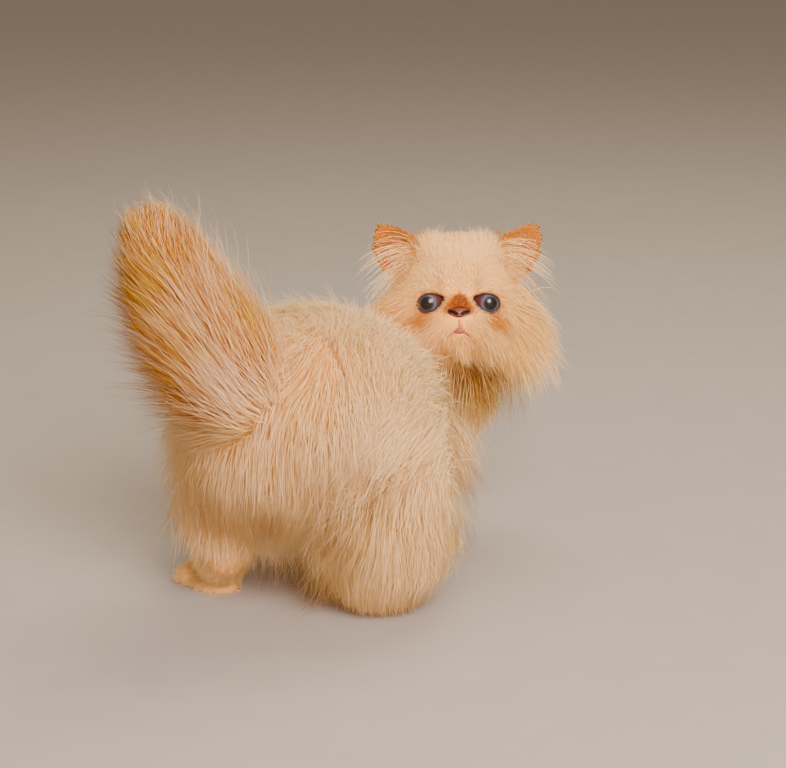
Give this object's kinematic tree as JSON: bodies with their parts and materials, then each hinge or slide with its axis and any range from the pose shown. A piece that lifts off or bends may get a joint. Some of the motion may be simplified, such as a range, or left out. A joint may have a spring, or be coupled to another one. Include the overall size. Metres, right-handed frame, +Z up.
{
  "type": "persian cat",
  "caption": "Long-haired flame point kitten, standing with its tail raised and looking back over its shoulder; a still, life-size animal model.",
  "frame": {"origin": "middle of the floor under the cat: centre of its outline seen from above, at the level of its soles", "axes": "+Z up, +Y the way the hindquarters head, from the tail's side towards the chest, +X to the cat's right"},
  "size_m": [0.1702, 0.2134, 0.2014],
  "materials": {
    "body_fur": "soft, long fur",
    "face_fur": "soft, long fur",
    "point_fur": "soft, long fur",
    "nose_leather": "moist, satin",
    "eye": "wet gloss"
  },
  "bodies": {
    "root": {"torso": "body_fur", "neck": "body_fur", "hind_leg_left": "body_fur", "hind_leg_right": "body_fur", "foreleg_left": "body_fur", "foreleg_right": "body_fur", "head": "face_fur", "ear_left": "point_fur", "ear_right": "point_fur", "tail": "point_fur", "nose": "nose_leather", "eye_left": "eye", "eye_right": "eye"}
  },
  "joints": []
}
